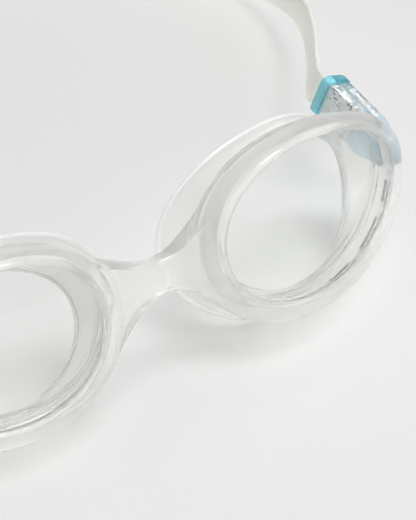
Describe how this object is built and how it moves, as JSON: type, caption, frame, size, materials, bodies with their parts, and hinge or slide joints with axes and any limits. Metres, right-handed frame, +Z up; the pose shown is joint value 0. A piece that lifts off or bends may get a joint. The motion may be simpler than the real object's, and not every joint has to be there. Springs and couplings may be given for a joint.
{
  "type": "swim goggles",
  "caption": "Clear swim goggles with a soft one-piece frame, curved lenses, flared face seals, swivelling side clips with release levers, and an elastic head strap.",
  "frame": {"origin": "on the table, under the middle of the whole object's footprint", "axes": "+Z up from the table, -Y the way the lenses face, +X towards the wearer's left"},
  "size_m": [0.202, 0.1944, 0.0584],
  "materials": {
    "soft_frame": "clear soft elastomer, slightly hazy",
    "lens": "clear polycarbonate, polished",
    "face_seal": "clear silicone, glossy",
    "temple_anchor": "clear moulded plastic",
    "pivot_rivet": "tinted moulded plastic",
    "clip_base": "clear moulded plastic",
    "clip_cover": "teal-tinted clear plastic",
    "release_lever": "clear moulded plastic",
    "lever_pin": "plain steel wire",
    "head_strap": "off-white silicone, satin"
  },
  "bodies": {
    "root": {"soft_frame": "soft_frame", "left_lens": "lens", "right_lens": "lens", "left_face_seal": "face_seal", "right_face_seal": "face_seal", "left_temple_anchor": "temple_anchor", "right_temple_anchor": "temple_anchor", "left_pivot_rivet": "pivot_rivet", "right_pivot_rivet": "pivot_rivet", "head_strap": "head_strap"},
    "left_clip": {"left_clip_base": "clip_base", "left_clip_cover": "clip_cover", "left_lever_pin": "lever_pin"},
    "right_clip": {"right_clip_base": "clip_base", "right_clip_cover": "clip_cover", "right_lever_pin": "lever_pin"},
    "left_lever": {"left_release_lever": "release_lever"},
    "right_lever": {"right_release_lever": "release_lever"}
  },
  "joints": [
    {"name": "left_clip_swivel", "type": "hinge", "parent": "root", "child": "left_clip", "pos_m": [0.07781, -0.06303, 0.02864], "axis": [0.9806, 0.1846, -0.0657], "range_deg": [-30, 12], "deforming": ["head_strap"]},
    {"name": "right_clip_swivel", "type": "hinge", "parent": "root", "child": "right_clip", "pos_m": [-0.07781, -0.06303, 0.02864], "axis": [0.9806, -0.1846, 0.0657], "range_deg": [-30, 12], "deforming": ["head_strap"]},
    {"name": "left_lever_press", "type": "hinge", "parent": "left_clip", "child": "left_lever", "pos_m": [0.07643, -0.05502, 0.03077], "axis": [-0.1096, 0.2385, -0.9649], "range_deg": [0, 8.7], "stiffness_Nm_per_rad": 0.06},
    {"name": "right_lever_press", "type": "hinge", "parent": "right_clip", "child": "right_lever", "pos_m": [-0.07643, -0.05502, 0.03077], "axis": [-0.1096, -0.2385, 0.9649], "range_deg": [0, 8.7], "stiffness_Nm_per_rad": 0.06}
  ]
}
